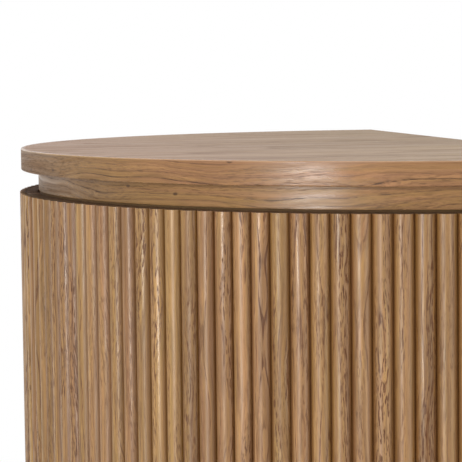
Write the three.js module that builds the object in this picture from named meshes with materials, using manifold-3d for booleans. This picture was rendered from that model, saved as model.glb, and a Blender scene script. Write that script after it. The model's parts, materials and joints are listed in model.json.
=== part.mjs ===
// Half-moon bar cabinet in oak. A slab top stands on a recessed neck, the body is wrapped in upright half-round
// slats, two quarter-round doors meet at the front centre and the back is flat.
// Millimetres, +Z up. The floor is z = 0, the front faces -Y, and the origin lies under the middle of the outline.
import * as THREE from "three";
import { mergeVertices } from "three/addons/utils/BufferGeometryUtils.js";
import Module from "manifold-3d";

const wasm = await Module();
wasm.setup();

// Outline of the whole cabinet
const bodyRadius = 482; // curved front, out to the crowns of the slats
const returnLength = 62; // straight side between the end of the curve and the flat back
const overallHeight = 1065;

// Top slab
const slabThickness = 25;
const slabShyOfSlats = 2; // the slab's edge stands this far behind the crowns
const slabArris = 1;

// Neck, a recessed band that also serves as the finger pull of the doors
const neckHeight = 24;
const neckRecess = 22; // crowns of the slats to the face of the neck
const neckBandThickness = 22;

// Slats
const slatsPerDoor = 36;
const slatsPerReturn = 3;
const slatRise = 6.5; // crown above the grooves
const slatBacking = 1.5; // veneer that the slats are glued to
const glueLine = 0.3;

// Carcass and doors
const doorThickness = 21; // crowns to inner face
const doorRest = 2; // inner face of the doors to the edges of the carcass
const doorDrop = 2; // upper edges of doors and side slats, below the upper face of the carcass
const centreGap = 2; // between the two doors
const panelThickness = 18;
const backThickness = 12;

// Inside
const shelfThickness = 18;
const shelfSetback = 20; // edge of the carcass to the edge of a shelf
const middleShelfHeight = 460; // clear height under the middle shelf
const lowerShelfHeight = 215; // clear height under the two lower shelves
const dividerThickness = 18;
const housingDepth = 5; // grooves that carry the shelves
const housingClearance = 0.2;
const shelfShoulder = 4; // front end of a groove behind the front edge of a side panel

// Stemware rails, T-shaped, hung under the carcass top
const railCount = 4;
const railPitch = 105;
const railLength = 330;
const railWebWidth = 15;
const railWebHeight = 24;
const railFlangeWidth = 75;
const railFlangeThickness = 9;
const railBackGap = 25; // rear ends to the back panel

// Plinth and glides
const plinthHeight = 60;
const plinthRecess = 40; // crowns of the slats to the face of the plinth
const plinthThickness = 22;
const glideHeight = 4;
const glideRadius = 9;
const glideAngles = [-58, 0, 58]; // degrees from the front centre, under the curved band
const backGlideInset = 100; // ends of the rear rail to the middle of its glides

// Butt hinges, three to a door, with their barrels lying in the groove beside the door
const hingeHeightShares = [0.1, 0.5, 0.9];
const hingeGap = 2.2; // edge of a door to the side panel that carries it
const leafHeight = 60;
const leafThickness = 0.8;
const leafInset = 2; // inner edge of a leaf to the inner face of the door
const barrelRadius = 2.5;
const barrelClearance = 0.3; // barrel to slat, and knuckle to knuckle
const boreRadius = 1.5;
const pinRadius = 1.2;
const pinHeadHeight = 1.5;
const knuckleCount = 5;

// Magnetic catches inside the carcass top and bottom, with a steel strike on each door
const catchWidth = 40;
const catchDepth = 16;
const catchHeight = 12;
const catchSlat = 2; // the catch stands behind this slat, counted from the front centre
const strikeWidth = 30;
const strikeThickness = 1.5;
const strikeHeight = 10;
const magnetGap = 0.5;

// Smoothness of the curves
const slatFacets = 6;
const bandFacets = 48;
const roundFacets = 12;
const cutOverrun = 5; // how far a cutting block runs past what it cuts

// Heights and plan positions that follow from the sizes above
const bodyBottom = glideHeight + plinthHeight;
const ledge = overallHeight - slabThickness - neckHeight;
const doorHeight = ledge - doorDrop - bodyBottom;
const centreY = (bodyRadius - returnLength) / 2; // centre of the curve
const backY = centreY + returnLength;
const grooveRadius = bodyRadius - slatRise;
const backingRadius = grooveRadius - slatBacking;
const coreRadius = backingRadius - glueLine;
const doorInnerRadius = bodyRadius - doorThickness;
const carcassRadius = doorInnerRadius - doorRest;
const neckRadius = bodyRadius - neckRecess;
const plinthRadius = bodyRadius - plinthRecess;
const shelfRadius = carcassRadius - shelfSetback;
const backInnerY = backY - backThickness;
const floorOfCarcass = bodyBottom + panelThickness;
const ceilingOfCarcass = ledge - panelThickness;
const middleShelfZ = floorOfCarcass + middleShelfHeight;
const lowerShelfZ = floorOfCarcass + lowerShelfHeight;
const slatAngle = Math.PI / 2 / slatsPerDoor;
const returnPitch = returnLength / slatsPerReturn;

const cabinet = new THREE.Group();

// Finishes
const finishes = {
  oak: { color: 0xa67c52, roughness: 0.55, metalness: 0 },
  oakTop: { color: 0xb0a18f, roughness: 0.6, metalness: 0 },
  oakVeneer: { color: 0xb08c60, roughness: 0.6, metalness: 0 },
  brass: { color: 0xb8955a, roughness: 0.35, metalness: 1 },
  steel: { color: 0x9a9a9a, roughness: 0.4, metalness: 1 },
  nylon: { color: 0x2a2826, roughness: 0.7, metalness: 0 },
};

// Adds one named piece to a group.
function piece(name, geometry, finish, group = cabinet) {
  const mesh = new THREE.Mesh(geometry, new THREE.MeshStandardMaterial(finishes[finish]));
  mesh.name = name;
  group.add(mesh);
  return mesh;
}

// A closed three.js geometry as a solid that can be cut and joined.
function solidOf(geometry) {
  const bare = geometry.clone();
  bare.deleteAttribute("normal");
  bare.deleteAttribute("uv");
  const merged = mergeVertices(bare);
  return new wasm.Manifold(
    new wasm.Mesh({
      numProp: merged.attributes.position.itemSize,
      vertProperties: merged.attributes.position.array,
      triVerts: new Uint32Array(merged.index.array),
    }),
  );
}

// A cut or joined solid as a three.js geometry.
function geometryOf(solid) {
  const mesh = solid.getMesh();
  const geometry = new THREE.BufferGeometry();
  geometry.setAttribute("position", new THREE.BufferAttribute(mesh.vertProperties, mesh.numProp));
  geometry.setIndex(new THREE.BufferAttribute(mesh.triVerts, 1));
  geometry.computeVertexNormals();
  return geometry;
}

// A box between two corners.
function block(low, high) {
  const size = high.map((value, axis) => value - low[axis]);
  const box = new THREE.BoxGeometry(...size);
  return box.translate(...high.map((value, axis) => (value + low[axis]) / 2));
}

// A flat plate or an upright wall: a plan outline raised from z = bottom.
function raised(shape, bottom, height, facets = bandFacets) {
  const settings = { depth: height, bevelEnabled: false, curveSegments: facets };
  return new THREE.ExtrudeGeometry(shape, settings).translate(0, 0, bottom);
}

// The cabinet's D-shaped outline: a half circle in front, straight sides and a straight rear edge.
function halfMoon(radius, rearY) {
  const shape = new THREE.Shape();
  shape.moveTo(-radius, rearY);
  shape.lineTo(-radius, centreY);
  shape.absarc(0, centreY, radius, Math.PI, 2 * Math.PI);
  shape.lineTo(radius, rearY);
  return shape;
}

// A bent band with straight ends: the space between two such outlines, open at the rear.
function horseshoe(radius, thickness) {
  const inner = radius - thickness;
  const shape = new THREE.Shape();
  shape.moveTo(-radius, backY);
  shape.lineTo(-radius, centreY);
  shape.absarc(0, centreY, radius, Math.PI, 2 * Math.PI);
  shape.lineTo(radius, backY);
  shape.lineTo(inner, backY);
  shape.lineTo(inner, centreY);
  shape.absarc(0, centreY, inner, 2 * Math.PI, Math.PI, true);
  shape.lineTo(-inner, backY);
  return shape;
}

// Plan point at a radius and an angle, counted from the front centre towards +X.
function planPoint(radius, angle) {
  return new THREE.Vector2(radius * Math.sin(angle), centreY - radius * Math.cos(angle));
}

// The half-round outline of a row of slats, given the grooves between them in order.
function slatOutline(grooves, rise) {
  const points = [grooves[0]];
  for (let i = 1; i < grooves.length; i++) {
    const [start, end] = [grooves[i - 1], grooves[i]];
    const half = start.distanceTo(end) / 2;
    const arcRadius = (half * half + rise * rise) / (2 * rise);
    const arcAngle = Math.asin(half / arcRadius);
    const along = end.clone().sub(start).normalize();
    const outward = new THREE.Vector2(along.y, -along.x);
    const middle = start.clone().add(end).divideScalar(2);
    for (let k = 1; k <= slatFacets; k++) {
      const turn = arcAngle * ((2 * k) / slatFacets - 1);
      const height = arcRadius * Math.cos(turn) - arcRadius + rise;
      const across = arcRadius * Math.sin(turn);
      points.push(middle.clone().addScaledVector(along, across).addScaledVector(outward, height));
    }
  }
  return points;
}

// Top slab, with a small arris along its upper and lower edges
function topSlab() {
  const slab = new THREE.ExtrudeGeometry(halfMoon(bodyRadius - slabShyOfSlats, backY), {
    depth: slabThickness - 2 * slabArris,
    bevelThickness: slabArris,
    bevelSize: slabArris,
    bevelOffset: -slabArris,
    bevelSegments: 1,
    curveSegments: 2 * bandFacets,
  });
  piece("top_slab", slab.translate(0, 0, overallHeight - slabThickness + slabArris), "oakTop");
}

// Neck and plinth, each a bent band closed by a straight rail at the rear
function bandWithRail(name, radius, thickness, bottom, height) {
  piece(name + "_band", raised(horseshoe(radius, thickness), bottom, height), "oak");
  const inner = radius - thickness;
  const rail = block([-inner, backY - thickness, bottom], [inner, backY, bottom + height]);
  piece(name + "_back_rail", rail, "oak");
}

// Grooves that hold the shelves, as blocks to be cut from the panels around them
const sideGrooveX = carcassRadius + housingDepth;
const backGrooveY = backInnerY + housingDepth;
const sidePanelFront = centreY + hingeGap / 2;
function grooveAround(shelfZ) {
  const low = shelfZ - housingClearance;
  const high = shelfZ + shelfThickness + housingClearance;
  const front = sidePanelFront + shelfShoulder - housingClearance;
  return block([-sideGrooveX, front, low], [sideGrooveX, backGrooveY, high]);
}
const shelfGrooves = [middleShelfZ, lowerShelfZ].map((z) => solidOf(grooveAround(z)));

// Carcass: top, bottom, back and the two straight side panels that carry the doors
function carcass() {
  const plate = halfMoon(carcassRadius, backInnerY);
  piece("carcass_top", raised(plate, ceilingOfCarcass, panelThickness), "oakVeneer");
  piece("carcass_bottom", raised(plate, bodyBottom, panelThickness), "oakVeneer");
  let back = solidOf(block([-carcassRadius, backInnerY, bodyBottom], [carcassRadius, backY, ledge]));
  shelfGrooves.forEach((groove) => (back = back.subtract(groove)));
  piece("back_panel", geometryOf(back), "oakVeneer");
}

function sidePanel(side, group) {
  const low = [carcassRadius, sidePanelFront, bodyBottom];
  let panel = solidOf(block(low, [coreRadius, backY, ledge]));
  shelfGrooves.forEach((groove) => (panel = panel.subtract(groove)));
  piece("side_panel_" + side, geometryOf(panel), "oakVeneer", group);
}

// A straight row of slats on the side panel
function sideSlats(side, group) {
  const grooves = [];
  for (let i = 0; i <= slatsPerReturn; i++) {
    grooves.push(new THREE.Vector2(grooveRadius, centreY + i * returnPitch));
  }
  const points = slatOutline(grooves, slatRise);
  points.push(new THREE.Vector2(backingRadius, backY), new THREE.Vector2(backingRadius, centreY));
  const whole = solidOf(raised(new THREE.Shape(points), bodyBottom, doorHeight));
  const low = [0, centreY - cutOverrun, bodyBottom - cutOverrun];
  const seam = block(low, [bodyRadius + cutOverrun, sidePanelFront, ledge + cutOverrun]);
  piece("side_slats_" + side, geometryOf(whole.subtract(solidOf(seam))), "oak", group);
}

// What a door loses at the front centre and beside its hinges
function doorSeams() {
  const reach = bodyRadius + cutOverrun;
  const [low, high] = [bodyBottom - cutOverrun, ledge + cutOverrun];
  const front = block([-reach, centreY - reach, low], [centreGap / 2, centreY + reach, high]);
  const beside = block([-reach, centreY - hingeGap / 2, low], [reach, centreY + reach, high]);
  return solidOf(front).add(solidOf(beside));
}

// A door: a quarter-round core of bent plywood under a skin of slats on thin backing
function door(side, group) {
  const seams = doorSeams();
  const angles = Array.from({ length: slatsPerDoor + 1 }, (_, i) => i * slatAngle);
  const inside = (radius) => angles.map((angle) => planPoint(radius, angle)).reverse();

  const core = angles.map((angle) => planPoint(coreRadius, angle)).concat(inside(doorInnerRadius));
  const coreSolid = solidOf(raised(new THREE.Shape(core), bodyBottom, doorHeight));
  piece("door_core_" + side, geometryOf(coreSolid.subtract(seams)), "oakVeneer", group);

  const grooves = angles.map((angle) => planPoint(grooveRadius, angle));
  const rise = bodyRadius - grooveRadius * Math.cos(slatAngle / 2);
  const skin = slatOutline(grooves, rise).concat(inside(backingRadius));
  const skinSolid = solidOf(raised(new THREE.Shape(skin), bodyBottom, doorHeight));
  piece("door_slats_" + side, geometryOf(skinSolid.subtract(seams)), "oak", group);
}

// The barrel stands just far enough out of its groove to clear the round faces of both slats.
const slatArcRadius = ((returnPitch * returnPitch) / 4 + slatRise * slatRise) / (2 * slatRise);
const barrelReach = slatArcRadius + barrelRadius + barrelClearance;
const barrelSeat = Math.sqrt(barrelReach ** 2 - (returnPitch / 2) ** 2) - slatArcRadius + slatRise;
const hingeX = grooveRadius + barrelSeat;
const knuckleHeight = (leafHeight - (knuckleCount - 1) * barrelClearance) / knuckleCount;

// One leaf of a hinge, with the pin's axis at x = y = 0. Its plate lies towards -X, on the side of y that
// facing gives, and it owns every second knuckle from the first one named.
function hingeLeaf(firstKnuckle, facing) {
  const plateEnd = doorInnerRadius + leafInset - hingeX;
  const outer = (facing * hingeGap) / 2;
  const inner = outer - facing * leafThickness;
  const [lowY, highY] = [Math.min(inner, outer), Math.max(inner, outer)];
  const bottom = -leafHeight / 2;
  const plateStart = -barrelRadius - barrelClearance;
  let leaf = solidOf(block([plateEnd, lowY, bottom], [plateStart, highY, -bottom]));
  for (let k = firstKnuckle; k < knuckleCount; k += 2) {
    const z = bottom + k * (knuckleHeight + barrelClearance);
    const barrel = new THREE.CylinderGeometry(barrelRadius, barrelRadius, knuckleHeight, roundFacets);
    barrel.rotateX(Math.PI / 2).translate(0, 0, z + knuckleHeight / 2);
    const tab = block([plateStart - barrelClearance, lowY, z], [0, highY, z + knuckleHeight]);
    leaf = leaf.add(solidOf(barrel)).add(solidOf(tab));
  }
  const bore = new THREE.CylinderGeometry(boreRadius, boreRadius, leafHeight + cutOverrun, roundFacets);
  return geometryOf(leaf.subtract(solidOf(bore.rotateX(Math.PI / 2))));
}

// A hinge pin with a flat head at each end
function hingePin() {
  const shank = leafHeight / 2 + barrelClearance;
  const top = shank + pinHeadHeight;
  const profile = [
    [0, -top],
    [barrelRadius, -top],
    [barrelRadius, -shank],
    [pinRadius, -shank],
    [pinRadius, shank],
    [barrelRadius, shank],
    [barrelRadius, top],
    [0, top],
  ].map(([x, y]) => new THREE.Vector2(x, y));
  return new THREE.LatheGeometry(profile, roundFacets).rotateX(Math.PI / 2);
}

function hinges(side, group) {
  hingeHeightShares.forEach((share, i) => {
    const hinge = new THREE.Group();
    hinge.position.set(hingeX, centreY, bodyBottom + share * doorHeight);
    group.add(hinge);
    const name = "hinge_" + side + "_" + (i + 1);
    piece(name + "_frame_leaf", hingeLeaf(0, 1), "brass", hinge);
    piece(name + "_door_leaf", hingeLeaf(1, -1), "brass", hinge);
    piece(name + "_pin", hingePin(), "brass", hinge);
  });
}

// A catch at the carcass's edge and its strike on the door, one pair at the top and one at the bottom
function catches(side, group) {
  const turned = new THREE.Group();
  turned.position.y = centreY;
  turned.rotation.z = (catchSlat - 1 / 2) * slatAngle;
  group.add(turned);
  const facetInset = doorInnerRadius * Math.cos(slatAngle / 2);
  const strikeBack = Math.sqrt(facetInset ** 2 - (strikeWidth / 2) ** 2) - glueLine;
  const strikeFace = strikeBack - strikeThickness;
  const catchFace = strikeFace - magnetGap;
  const ends = { top: ceilingOfCarcass - catchHeight, bottom: floorOfCarcass };
  for (const [end, z] of Object.entries(ends)) {
    const housing = block(
      [-catchWidth / 2, -catchFace, z + (end === "top" ? -glueLine : glueLine)],
      [catchWidth / 2, catchDepth - catchFace, z + catchHeight + (end === "top" ? -glueLine : glueLine)],
    );
    piece("catch_" + end + "_" + side, housing, "nylon", turned);
    const middle = z + catchHeight / 2;
    const strike = block(
      [-strikeWidth / 2, -strikeBack, middle - strikeHeight / 2],
      [strikeWidth / 2, -strikeFace, middle + strikeHeight / 2],
    );
    piece("strike_" + end + "_" + side, strike, "steel", turned);
  }
}

// Shelves: one across the whole width, and one in each bay beside the divider
const shelfSideX = sideGrooveX - housingClearance;
const shelfRearY = backGrooveY - housingClearance;
const shoulderY = sidePanelFront + shelfShoulder;

function middleShelf() {
  const shape = new THREE.Shape();
  shape.moveTo(-shelfSideX, shelfRearY);
  shape.lineTo(-shelfSideX, shoulderY);
  shape.lineTo(-carcassRadius, shoulderY);
  shape.lineTo(-shelfRadius, centreY);
  shape.absarc(0, centreY, shelfRadius, Math.PI, 2 * Math.PI);
  shape.lineTo(carcassRadius, shoulderY);
  shape.lineTo(shelfSideX, shoulderY);
  shape.lineTo(shelfSideX, shelfRearY);
  piece("middle_shelf", raised(shape, middleShelfZ, shelfThickness), "oakVeneer");
}

function lowerShelf(side, group) {
  const inner = dividerThickness / 2 - housingDepth + housingClearance;
  const shape = new THREE.Shape();
  shape.moveTo(inner, shelfRearY);
  shape.absarc(0, centreY, shelfRadius, Math.asin(inner / shelfRadius) - Math.PI / 2, 0);
  shape.lineTo(carcassRadius, shoulderY);
  shape.lineTo(shelfSideX, shoulderY);
  shape.lineTo(shelfSideX, shelfRearY);
  piece("lower_shelf_" + side, raised(shape, lowerShelfZ, shelfThickness, bandFacets / 2), "oakVeneer", group);
}

function divider() {
  const half = dividerThickness / 2;
  const front = centreY - shelfRadius;
  const low = lowerShelfZ - housingClearance;
  const high = lowerShelfZ + shelfThickness + housingClearance;
  let wall = solidOf(block([-half, front, floorOfCarcass], [half, backInnerY, middleShelfZ]));
  for (const side of [-1, 1]) {
    const [nearX, farX] = [half - housingDepth, half + cutOverrun].map((x) => side * x);
    const groove = block(
      [Math.min(nearX, farX), front - cutOverrun, low],
      [Math.max(nearX, farX), backInnerY + cutOverrun, high],
    );
    wall = wall.subtract(solidOf(groove));
  }
  piece("lower_divider", geometryOf(wall), "oakVeneer");
}

// T-shaped rails that wine glasses hang from by their feet
function stemwareRails() {
  const [web, flange] = [railWebWidth / 2, railFlangeWidth / 2];
  const flangeTop = -railWebHeight;
  const profile = [
    [-web, 0],
    [-web, flangeTop],
    [-flange, flangeTop],
    [-flange, flangeTop - railFlangeThickness],
    [flange, flangeTop - railFlangeThickness],
    [flange, flangeTop],
    [web, flangeTop],
    [web, 0],
  ].map(([x, y]) => new THREE.Vector2(x, y));
  for (let i = 0; i < railCount; i++) {
    const rail = raised(new THREE.Shape(profile), 0, railLength).rotateX(Math.PI / 2);
    const x = (i - (railCount - 1) / 2) * railPitch;
    const mesh = piece("stemware_rail_" + (i + 1), rail, "oak");
    mesh.position.set(x, backInnerY - railBackGap, ceilingOfCarcass);
  }
}

// Glides under the plinth: three along the bent band and two at the rear rail
function glides() {
  const middleRadius = plinthRadius - plinthThickness / 2;
  const places = glideAngles.map((angle) => planPoint(middleRadius, THREE.MathUtils.degToRad(angle)));
  for (const side of [-1, 1]) {
    const x = plinthRadius - plinthThickness - backGlideInset;
    places.push(new THREE.Vector2(side * x, backY - plinthThickness / 2));
  }
  places.forEach((place, i) => {
    const disc = new THREE.CylinderGeometry(glideRadius, glideRadius, glideHeight, roundFacets);
    const mesh = piece("glide_" + (i + 1), disc.rotateX(Math.PI / 2), "nylon");
    mesh.position.set(place.x, place.y, glideHeight / 2);
  });
}

topSlab();
bandWithRail("neck", neckRadius, neckBandThickness, ledge, neckHeight);
bandWithRail("plinth", plinthRadius, plinthThickness, glideHeight, plinthHeight);
carcass();
middleShelf();
divider();
stemwareRails();
glides();
for (const [side, mirror] of Object.entries({ right: 1, left: -1 })) {
  const half = new THREE.Group();
  half.scale.x = mirror;
  cabinet.add(half);
  sidePanel(side, half);
  sideSlats(side, half);
  door(side, half);
  hinges(side, half);
  catches(side, half);
  lowerShelf(side, half);
}

export default cabinet;
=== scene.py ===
# Looks of the half-moon bar cabinet: oak slats wrapped round two curved doors, a slab top on a recessed neck,
# an open carcass with shelves and stemware rails behind the doors, brass butt hinges and magnetic catches.
# Metres, +Z up. The floor is z = 0 and the front faces -Y.
import json
import math

import bmesh
import bpy
import numpy as np
from mathutils import Matrix, Vector


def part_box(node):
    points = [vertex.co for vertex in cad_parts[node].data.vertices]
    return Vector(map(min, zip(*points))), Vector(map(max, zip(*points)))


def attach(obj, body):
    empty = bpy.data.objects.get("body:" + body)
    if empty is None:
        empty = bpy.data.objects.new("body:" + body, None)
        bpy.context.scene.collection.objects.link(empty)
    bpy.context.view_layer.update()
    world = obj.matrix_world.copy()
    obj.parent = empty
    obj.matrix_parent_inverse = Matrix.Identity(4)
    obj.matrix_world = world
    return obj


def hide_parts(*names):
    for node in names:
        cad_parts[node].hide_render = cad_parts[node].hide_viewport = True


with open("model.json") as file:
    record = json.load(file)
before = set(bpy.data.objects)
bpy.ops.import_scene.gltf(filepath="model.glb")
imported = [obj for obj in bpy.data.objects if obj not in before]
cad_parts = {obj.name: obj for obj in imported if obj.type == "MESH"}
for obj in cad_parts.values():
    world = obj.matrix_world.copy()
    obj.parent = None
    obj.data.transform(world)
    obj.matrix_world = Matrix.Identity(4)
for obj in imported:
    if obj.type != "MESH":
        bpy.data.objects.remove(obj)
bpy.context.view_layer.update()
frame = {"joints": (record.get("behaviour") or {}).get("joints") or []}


def corners_of(name):
    """The low and the high corner of a solid in the frame, to a hundredth of a millimetre."""
    return [[round(value, 5) for value in corner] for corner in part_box(name)]


# Plan and heights, from the frame: a half circle about (0, CENTRE_Y) in front, with short straight returns to
# the flat rear
HINGE_X, CENTRE_Y, _ = next(j["pos_m"] for j in frame["joints"] if j["name"] == "right_door_swing")
(_, _, NECK_TOP_Z), (SLAB_RADIUS, REAR_Y, TOP_Z) = corners_of("top_slab")
(_, _, CARCASS_TOP_Z), (NECK_RADIUS, _, _) = corners_of("neck_band")
(_, _, PLINTH_FOOT_Z), (PLINTH_RADIUS, _, SLAT_FOOT_Z) = corners_of("plinth_band")
(_, _, CEILING_Z), (CARCASS_RADIUS, BACK_INNER_Y, _) = corners_of("carcass_top")
_, (_, _, FLOOR_BOARD_Z) = corners_of("carcass_bottom")
(BACKING_RADIUS, SIDE_PANEL_FRONT, _), (CROWN_RADIUS, _, SLAT_TOP_Z) = corners_of("side_slats_right")
_, (CORE_RADIUS, _, _) = corners_of("side_panel_right")
(MEETING_X, _, _), (_, DOOR_END_Y, _) = corners_of("door_core_right")
(_, SHELF_FRONT, MIDDLE_SHELF_Z), (_, _, MIDDLE_SHELF_TOP_Z) = corners_of("middle_shelf")
(_, _, LOWER_SHELF_Z), _ = corners_of("lower_shelf_right")
(RAIL_LEFT, RAIL_FRONT, RAIL_FOOT_Z), (RAIL_RIGHT, RAIL_REAR, _) = corners_of("stemware_rail_1")
(_, _, LEAF_FOOT_Z), (_, _, LEAF_TOP_Z) = corners_of("hinge_right_1_frame_leaf")
(_, _, CATCH_LOW_Z), (_, _, CATCH_HIGH_Z) = corners_of("catch_bottom_right")
BOARD = MIDDLE_SHELF_TOP_Z - MIDDLE_SHELF_Z
SHELF_RADIUS = CENTRE_Y - SHELF_FRONT
DOOR_PLAY = 0.002
DOOR_INNER_RADIUS = CARCASS_RADIUS + DOOR_PLAY
HALF_HINGE_GAP = SIDE_PANEL_FRONT - CENTRE_Y
BAND_THICKNESS = 0.022
SIDES = (("right", 1), ("left", -1))

# Slats, and the strip behind them that shows in the grooves
SLATS_PER_DOOR = 36
SLAT_ANGLE = math.radians(90 / SLATS_PER_DOOR)
SLAT_RISE = 0.0065
GROOVE_RADIUS = CROWN_RADIUS - SLAT_RISE
SIDE_SLATS = 3
SIDE_PITCH = (REAR_Y - CENTRE_Y) / SIDE_SLATS
SLAT_JOINT = 0.0005
BAR_SIDES = 44
STRIP_INSET, STRIP_SETBACK = 0.0002, 0.0005
STRIP_RADIUS = GROOVE_RADIUS - STRIP_INSET
STRIP_FOOT_Z, STRIP_TOP_Z = SLAT_FOOT_Z + STRIP_SETBACK, SLAT_TOP_Z - STRIP_SETBACK

# Housings for the shelves: depth, play, how far cutters reach past the wood, and the shoulder before a tongue
HOUSING_DEPTH = 0.005
CLEARANCE = 0.0002
PAST = 0.01
HOUSING_REAR = BACK_INNER_Y + HOUSING_DEPTH
SHOULDER = 0.004
SHOULDER_Y = SIDE_PANEL_FRONT + SHOULDER

# What is taken off the sharp edges
SLAB_ARRIS = 0.0012
SHELF_ARRIS = 0.0007
BOARD_ARRIS = 0.0006
PANEL_ARRIS = 0.0005
SLAT_ARRIS = 0.0004
RAIL_ARRIS = 0.0008
STRIP_ARRIS = 0.0001
METAL_ARRIS = 0.0002
LEAF_ARRIS = 0.0001
PIN_ARRIS = 0.0004
SCREW_ARRIS = 0.00012
BARREL_ARRIS = 0.00015

# The line of the slab's edge band, and the pale lipping where the doors meet, a light mark on the ledge
SLAB_LIP = 0.003
MEETING_LIP = 0.0035
# The dark line in the joint over a band, painted shade under what overhangs it with a little stain: its
# depth, where it has faded out, its strength
JOINT_LINE = 0.0032
JOINT_FADE = 0.0048
JOINT_STAIN_AND_SHADE = 0.42
# The stain and painted shade between the slats: where they start on the way from the crown, their reach,
# their strength
STAIN_AND_SHADE_START = 0.25
STAIN_AND_SHADE_REACH = 0.72
STAIN_AND_SHADE = 0.78

# Stemware rails, glides and screws
RAILS = 4
RAIL_WIDTH = RAIL_RIGHT - RAIL_LEFT
RAIL_FLANGE, RAIL_STEM, RAIL_NOSE = 0.009, 0.015, 0.012
GLIDES = 5
GLIDE_RADIUS, GLIDE_HEIGHT, GLIDE_ARRIS = 0.009, 0.004, 0.0008
SMALL_SCREW, LARGE_SCREW = 0.0022, 0.0038
SCREW_HEAD, SCREW_RECESS, SCREW_PROUD = 0.0006, 0.0004, 0.00008
RECESS_LENGTH, RECESS_WIDTH = 0.62, 0.17
# Rows of screws in the back panel: from, to and how many
BACK_SCREWS_X, BACK_SCREWS_Z = (-0.4, 0.4, 5), (0.2, 0.88, 4)
BACK_SCREW_EDGE_X, BACK_SCREW_PROUD = 0.45, 0.0001

# Butt hinges
HINGES = 3
KNUCKLES = 5
PLAY = 0.0003
BARREL_RADIUS, BARREL_WALL = 0.0025, 0.001
PIN_RADIUS, PIN_HEAD = 0.0012, 0.0015
LEAF_HEIGHT = LEAF_TOP_Z - LEAF_FOOT_Z
LEAF_THICKNESS, LEAF_INSET, LEAF_CORNER = 0.0008, 0.002, 0.003
LEAF_SCREWS = (-0.02, 0, 0.02)
KNUCKLE = (LEAF_HEIGHT - (KNUCKLES - 1) * PLAY) / KNUCKLES

# Strikes, flat plates against the bent inner face of a door, and magnetic catches
CATCH_TURN = 1.5 * SLAT_ANGLE
STRIKE_WIDTH, STRIKE_HEIGHT, STRIKE_THICKNESS, STRIKE_CORNER = 0.030, 0.010, 0.0015, 0.0022
STRIKE_SCREW_X = 0.0098
GLUE_LINE = 0.0003
FACET_RADIUS = DOOR_INNER_RADIUS * math.cos(SLAT_ANGLE / 2)
STRIKE_BACK = math.sqrt(FACET_RADIUS ** 2 - (STRIKE_WIDTH / 2) ** 2) - GLUE_LINE
STRIKE_FACE = STRIKE_BACK - STRIKE_THICKNESS
MAGNET_GAP = 0.0005
CATCH_FACE = STRIKE_FACE - MAGNET_GAP
CATCH_WIDTH, CATCH_DEPTH, CATCH_CASE, CATCH_EAR, CATCH_CORNER = 0.040, 0.016, 0.025, 0.0035, 0.003
CATCH_SCREW_X = 0.0163
POLE_WIDTH, POLE_DEPTH, POLE_THICKNESS, POLE_PROUD = 0.022, 0.006, 0.0012, 0.0004
POLE_HEIGHTS = (0.003, 0.0082)

# Roundness of the long curves and of the small round parts
CURVE_SIDES = 256
SMALL_SIDES = 32
SCREW_SIDES = 24
SMOOTH_ANGLE = math.radians(14)
STRAIGHT_ANGLE = math.radians(0.2)
NEAR = 1e-5

# Light: the white surroundings, a little stronger from one bearing, and how far the softboxes stand off
AMBIENT = 0.28
FILL, FILL_BEARING = 0.44, math.radians(-155)
SOFTBOX_REACH, OVERHEAD_REACH = 3.2, 2.6
# The floor, and the distances between which it turns to white
FLOOR_RADIUS, FLOOR_SIDES = 9.0, 96
FLOOR_FADE = (1.1, 2.2)

# Camera, fitted to the photo
SENSOR_MM, LENS_MM = 36, 158.82
EYE = (2.349302, -0.480093, 1.158477)
YAW, PITCH, ROLL = math.radians(79.0736), math.radians(4.64054), math.radians(-0.65262)

draws = np.random.default_rng(41)


# Modelling

def deselect():
    bpy.ops.object.select_all(action="DESELECT")


def only(piece):
    deselect()
    piece.select_set(True)
    bpy.context.view_layer.objects.active = piece


def open_mesh():
    bpy.ops.object.mode_set(mode="EDIT")


def close_mesh():
    bpy.ops.object.mode_set(mode="OBJECT")


def opened():
    """Puts the place of the primitive just added in its mesh and opens it for editing."""
    piece = bpy.context.object
    bpy.ops.object.transform_apply(location=True, rotation=True, scale=True)
    open_mesh()
    bpy.ops.mesh.select_mode(type="EDGE")
    select_all()
    return piece


def block(low, high):
    """A box between two corners, open for editing."""
    deselect()
    middle = [(a + b) / 2 for a, b in zip(low, high)]
    size = [b - a for a, b in zip(low, high)]
    bpy.ops.mesh.primitive_cube_add(size=1, location=middle, scale=size)
    return opened()


def circle(radius, place, sides=CURVE_SIDES, fill="NOTHING"):
    """A flat ring or disc, open for editing."""
    deselect()
    bpy.ops.mesh.primitive_circle_add(vertices=sides, radius=radius, fill_type=fill, location=place)
    return opened()


def rod(radius, low, high, sides=SMALL_SIDES, y=0.0):
    """An upright round bar, open for editing."""
    deselect()
    bpy.ops.mesh.primitive_cylinder_add(
        vertices=sides, radius=radius, depth=high - low, location=(0, y, (low + high) / 2))
    return opened()


def select_all():
    bpy.ops.mesh.select_all(action="SELECT")


def pick(piece, kind, test):
    """Selects the points, edges or faces that pass a test on their middle and on themselves."""
    bpy.ops.mesh.select_mode(type=kind)
    bpy.ops.mesh.select_all(action="DESELECT")
    mesh = bmesh.from_edit_mesh(piece.data)
    mesh.normal_update()
    for part in {"VERT": mesh.verts, "EDGE": mesh.edges, "FACE": mesh.faces}[kind]:
        points = [part] if kind == "VERT" else part.verts
        middle = sum((point.co for point in points), Vector()) / len(points)
        if test(middle, part):
            part.select_set(True)
    mesh.select_flush_mode()
    bmesh.update_edit_mesh(piece.data)


def lies_at(edge, axis, value):
    """Whether an edge lies wholly in the plane where x (0), y (1) or z (2) has a value."""
    return all(abs(point.co[axis] - value) < NEAR for point in edge.verts)


def draw_out(x=0.0, y=0.0, z=0.0):
    bpy.ops.mesh.extrude_region_move(TRANSFORM_OT_translate={"value": (x, y, z)})


def raised(height):
    select_all()
    draw_out(z=height)


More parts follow.
